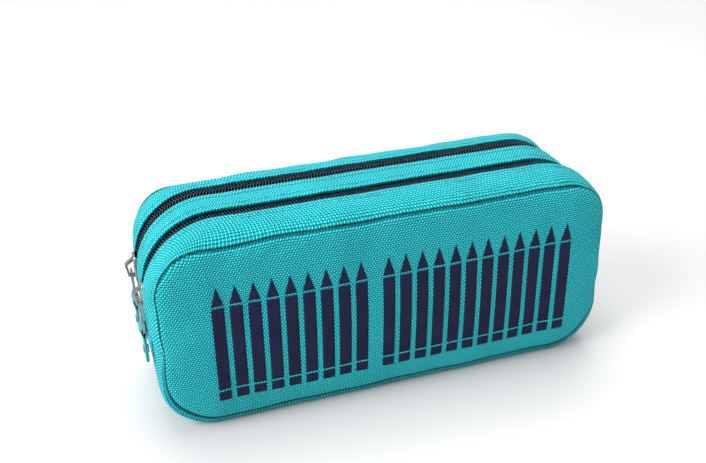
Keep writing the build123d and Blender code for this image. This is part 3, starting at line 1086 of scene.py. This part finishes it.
def make_pull_tab(name, side):
    """A strap folded round the puller's bar, its two layers riveted together."""
    tab_low, tab_high = node_box(f"{name}_pull_tab")
    puller_low, puller_high = node_box(f"{name}_puller")
    y = side * ZIP_Y
    half_width = (tab_high[1] - tab_low[1]) / 2
    out_middle = (puller_low[0] + puller_high[0]) / 2
    loop_radius = (tab_high[0] - tab_low[0]) / 2
    bar_z = tab_high[2] - loop_radius
    end_z = tab_low[2]
    layer = 0.62
    gap = 0.36
    wrap = loop_radius - layer / 2
    ease = 5.0
    angles = np.linspace(-math.pi / 2, math.pi / 2, 15)
    drop = spaced(bar_z - end_z, 0.9, (0.3, 0.7, 1.2), FINE_EDGE[:6])
    narrowing = gap + (wrap - gap) * (0.5 + 0.5 * np.cos(np.pi * np.clip(drop / ease, 0, 1)))
    front = [(out_middle - w, bar_z - d) for w, d in zip(narrowing, drop)]
    back = [(out_middle + w, bar_z - d) for w, d in zip(narrowing, drop)]
    loop = [(out_middle - wrap * math.sin(a), bar_z + wrap * math.cos(a)) for a in angles[1:-1]]
    path = np.array(back[::-1] + loop + front)
    length = np.concatenate([[0], np.cumsum(np.linalg.norm(np.diff(path, axis=0), axis=1))])
    from_tip = from_ends(length)
    width = half_width * np.sqrt(np.clip(1 - (1 - np.clip(from_tip / 3.2, 0, 1)) ** 2, 0.02, 1))
    across = spaced(2.0, 0.18, (0.02, 0.06, 0.12)) - 1
    grid = np.zeros((len(path), len(across), 3))
    grid[..., 0] = path[:, None, 0]
    grid[..., 1] = y + width[:, None] * across
    grid[..., 2] = path[:, None, 1]
    edge = np.minimum(width[:, None] * (1 - np.abs(across)), from_tip[:, None])
    thickness = round_edge(np.maximum(edge, 0), layer)
    uv = cloth_uv(length, half_width * across)
    piece = shell(f"{name}_pull_tab_strap", grid, thickness, uv, STRAP)
    stays(piece, f"{name}_pull_tab", slot="pull_tab", body=f"{name}_pull_tab")


# ---- CAD nodes that stay


def finish_metal():
    """Metal for the CAD pieces that show as they are."""
    moving = [f"{name}_{part}" for name, _ in SIDES for part in ("slider", "puller", "tab_rivet")]
    for name in (*moving, "zip_inner_top_stops", "zip_bottom_stops"):
        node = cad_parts[name]
        node.data.materials.clear()
        node.data.materials.append(METAL)


# ---- stage, lights and camera

CAMERA_AZIMUTH = -18.02
CAMERA_ELEVATION = 29.11
CAMERA_ROLL = -1.05
CAMERA_DISTANCE = 429.3
CAMERA_TARGET = (-7.75, 0, 64.86)
FOCAL_LENGTH = 49.75


def make_camera():
    azimuth, elevation, roll = (math.radians(a) for a in (CAMERA_AZIMUTH, CAMERA_ELEVATION, CAMERA_ROLL))
    back = Vector((
        math.sin(azimuth) * math.cos(elevation),
        -math.cos(azimuth) * math.cos(elevation),
        math.sin(elevation),
    ))
    right = Vector((math.cos(azimuth), math.sin(azimuth), 0))
    up = back.cross(right)
    turned_right = right * math.cos(roll) + up * math.sin(roll)
    turned_up = up * math.cos(roll) - right * math.sin(roll)
    data = bpy.data.cameras.new("camera")
    data.sensor_width = 36
    data.lens = FOCAL_LENGTH
    camera = link(bpy.data.objects.new("camera", data))
    rotation = Matrix((turned_right, turned_up, back)).transposed().to_4x4()
    place = (Vector(CAMERA_TARGET) + back * CAMERA_DISTANCE) * MM
    camera.matrix_world = Matrix.Translation(place) @ rotation
    data.clip_start = 0.01
    bpy.context.scene.camera = camera


def area_light(name, place, target, size, power):
    data = bpy.data.lights.new(name, "AREA")
    data.shape = "RECTANGLE"
    data.size, data.size_y = size
    data.energy = power
    light = link(bpy.data.objects.new(name, data))
    light.location = place
    light.rotation_euler = (Vector(target) - Vector(place)).to_track_quat("-Z", "Y").to_euler()


def make_stage():
    """A pale table, a soft key light from the left, another from above, and even light from all round."""
    mesh = bpy.data.meshes.new("table")
    reach = 4.0
    corners = [(-reach, -reach, 0), (reach, -reach, 0), (reach, reach, 0), (-reach, reach, 0)]
    mesh.from_pydata(corners, [], [(0, 1, 2, 3)])
    mesh.materials.append(FLOOR)
    link(bpy.data.objects.new("table", mesh))
    world = bpy.data.worlds.new("studio")
    world.use_nodes = True
    background = world.node_tree.nodes["Background"]
    background.inputs[0].default_value = (1, 1, 1, 1)
    background.inputs[1].default_value = 0.72
    bpy.context.scene.world = world
    area_light("key", (-0.95, -0.25, 0.75), (0, 0, 0.04), (0.7, 0.7), 15.0)
    area_light("top", (0.1, 0.35, 1.2), (0, 0, 0.04), (1.0, 1.0), 13.5)
    bpy.context.scene.view_settings.view_transform = "Standard"


# ---- the case

make_camera()
make_stage()
make_middle_strip()
make_gusset()
make_gusset_layers()
for side_name, side in SIDES:
    make_strip(side_name, side)
    for half_name, toward in (("inner", -1), ("outer", 1)):
        make_zip_half(side_name, side, half_name, toward)
    make_pull_tab(side_name, side)
panels = make_panels()
make_panel_layers()
make_bindings()
make_print(panels["front"])
make_stop_copies()
make_all_stitches()
finish_metal()
